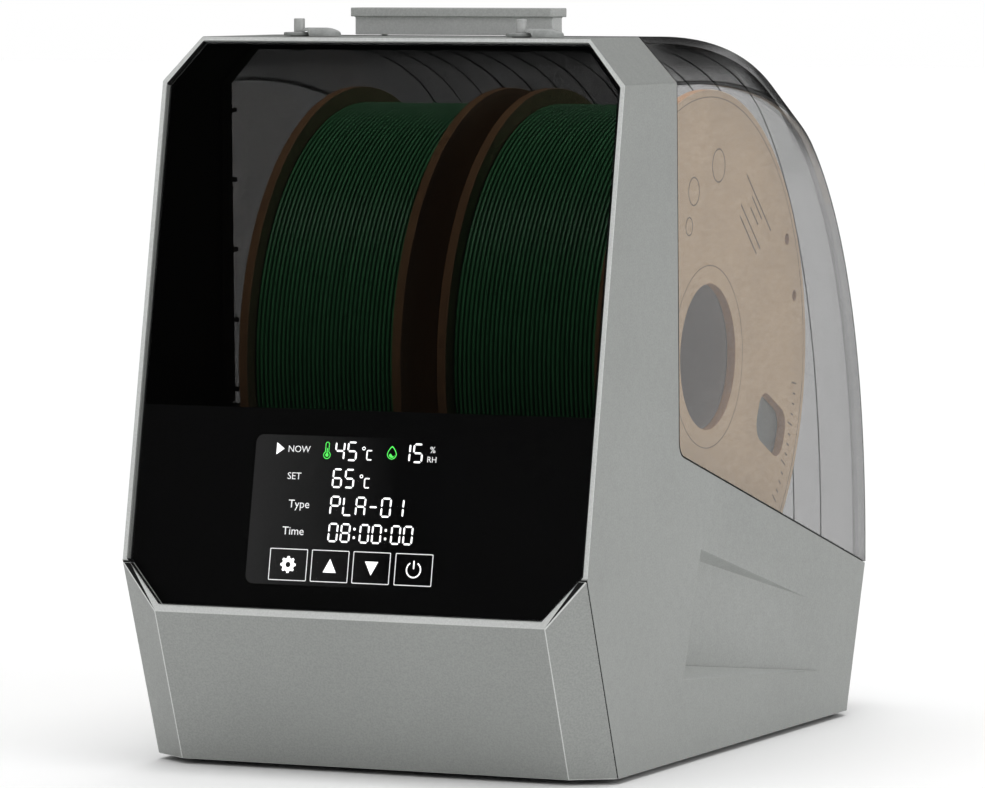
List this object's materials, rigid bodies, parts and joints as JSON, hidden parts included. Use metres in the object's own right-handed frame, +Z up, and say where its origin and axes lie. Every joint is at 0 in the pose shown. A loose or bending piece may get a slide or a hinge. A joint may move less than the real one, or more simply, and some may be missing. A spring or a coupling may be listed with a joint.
{
  "type": "filament dryer box",
  "caption": "Heated drying box for spools of printer filament: leaning glass front with a display, curved smoked lid hinged at the back, spools on rollers, filament outlets on top.",
  "frame": {"origin": "middle of the whole object's outline in plan, on the surface that its feet stand on", "axes": "+Z up, +Y from the display's side towards the lid's hinge, +X to the right as seen from the front"},
  "size_m": [0.1842, 0.2976, 0.2755],
  "materials": {
    "housing": "light grey moulded plastic with a fine speckled grain",
    "smoked_clear": "smoked clear plastic, glossy",
    "front_glass": "dark tinted glass, black behind the display",
    "display": "dark display with white and green lit segments",
    "black_plastic": "black moulded plastic",
    "black_rubber": "soft black rubber",
    "silicone": "light grey silicone",
    "outlet_tube": "milky white low-friction tube",
    "circuit_board": "green circuit board with its components",
    "steel": "bright steel",
    "aluminium": "plain aluminium fins",
    "cardboard": "pressed brown card",
    "filament": "dark green filament wound in even rows",
    "roller": "off-white smooth plastic",
    "cable": "grey cable insulation"
  },
  "bodies": {
    "base": {"main_shell": "housing", "chin_cover": "housing", "rear_panel": "housing", "bottom_plate": "black_plastic", "foot_front_left": "black_rubber", "foot_front_right": "black_rubber", "foot_rear_left": "black_rubber", "foot_rear_right": "black_rubber", "base_screw_front_left": "steel", "base_screw_front_right": "steel", "base_screw_rear_left": "steel", "base_screw_rear_right": "steel", "front_glass": "front_glass", "display_module": "display", "control_board": "circuit_board", "outlet_seal_left": "silicone", "outlet_seal_right": "silicone", "outlet_tube_left": "outlet_tube", "outlet_tube_right": "outlet_tube", "hinge_bracket_left": "black_plastic", "hinge_bracket_right": "black_plastic", "hinge_pin_left": "steel", "hinge_pin_right": "steel", "chamber_tub": "black_plastic", "frame_seal": "black_rubber", "rim_seal": "black_rubber", "front_axle": "steel", "rear_axle": "steel", "blower_housing": "black_plastic", "air_duct": "black_plastic", "ptc_heater": "aluminium", "power_board": "circuit_board", "humidity_sensor": "circuit_board", "power_inlet": "black_plastic", "inlet_wires": "cable", "display_ribbon": "cable"},
    "lid": {"lid_cover": "smoked_clear", "lid_side_left": "smoked_clear", "lid_side_right": "smoked_clear", "lid_handle": "housing", "handle_screw_left": "steel", "handle_screw_right": "steel", "hinge_lug_left": "black_plastic", "hinge_lug_right": "black_plastic"},
    "left_spool": {"left_spool_left_flange": "cardboard", "left_spool_right_flange": "cardboard", "left_spool_core": "cardboard", "left_filament": "filament"},
    "right_spool": {"right_spool_left_flange": "cardboard", "right_spool_right_flange": "cardboard", "right_spool_core": "cardboard", "right_filament": "filament"},
    "front_left_roller": {"roller_front_left": "roller"},
    "front_right_roller": {"roller_front_right": "roller"},
    "rear_left_roller": {"roller_rear_left": "roller"},
    "rear_right_roller": {"roller_rear_right": "roller"},
    "rotor": {"blower_rotor": "black_plastic"},
    "left_cap": {"outlet_cap_left": "silicone"},
    "right_cap": {"outlet_cap_right": "silicone"}
  },
  "joints": [
    {"name": "lid_hinge", "type": "hinge", "parent": "base", "child": "lid", "pos_m": [0, 0.14599, 0.0535], "axis": [-1, 0, 0], "range_deg": [0, 95]},
    {"name": "left_spool_spin", "type": "hinge", "parent": "base", "child": "left_spool", "pos_m": [-0.038, 0.00729, 0.1449], "axis": [1, 0, 0], "continuous": true},
    {"name": "right_spool_spin", "type": "hinge", "parent": "base", "child": "right_spool", "pos_m": [0.0425, 0.00729, 0.1449], "axis": [1, 0, 0], "continuous": true},
    {"name": "front_left_roller_spin", "type": "hinge", "parent": "base", "child": "front_left_roller", "pos_m": [-0.04, -0.05494, 0.05263], "axis": [1, 0, 0], "continuous": true},
    {"name": "rear_left_roller_spin", "type": "hinge", "parent": "base", "child": "rear_left_roller", "pos_m": [-0.04, 0.06953, 0.05263], "axis": [1, 0, 0], "continuous": true},
    {"name": "front_right_roller_spin", "type": "hinge", "parent": "base", "child": "front_right_roller", "pos_m": [0.04, -0.05494, 0.05263], "axis": [1, 0, 0], "continuous": true},
    {"name": "rear_right_roller_spin", "type": "hinge", "parent": "base", "child": "rear_right_roller", "pos_m": [0.04, 0.06953, 0.05263], "axis": [1, 0, 0], "continuous": true},
    {"name": "rotor_spin", "type": "hinge", "parent": "base", "child": "rotor", "pos_m": [-0.028, -0.03521, 0.0092], "axis": [0, 0, 1], "continuous": true},
    {"name": "left_cap_hinge", "type": "hinge", "parent": "base", "child": "left_cap", "pos_m": [-0.041, -0.09521, 0.2671], "axis": [0, -1, 0], "range_deg": [0, 75]},
    {"name": "right_cap_hinge", "type": "hinge", "parent": "base", "child": "right_cap", "pos_m": [0.0478, -0.09521, 0.2671], "axis": [0, -1, 0], "range_deg": [0, 75]}
  ],
  "couplings": [
    {"joint": "front_left_roller_spin", "follows": "left_spool_spin", "ratio": -9.0909},
    {"joint": "rear_left_roller_spin", "follows": "left_spool_spin", "ratio": -9.0909},
    {"joint": "front_right_roller_spin", "follows": "right_spool_spin", "ratio": -9.0909},
    {"joint": "rear_right_roller_spin", "follows": "right_spool_spin", "ratio": -9.0909}
  ]
}
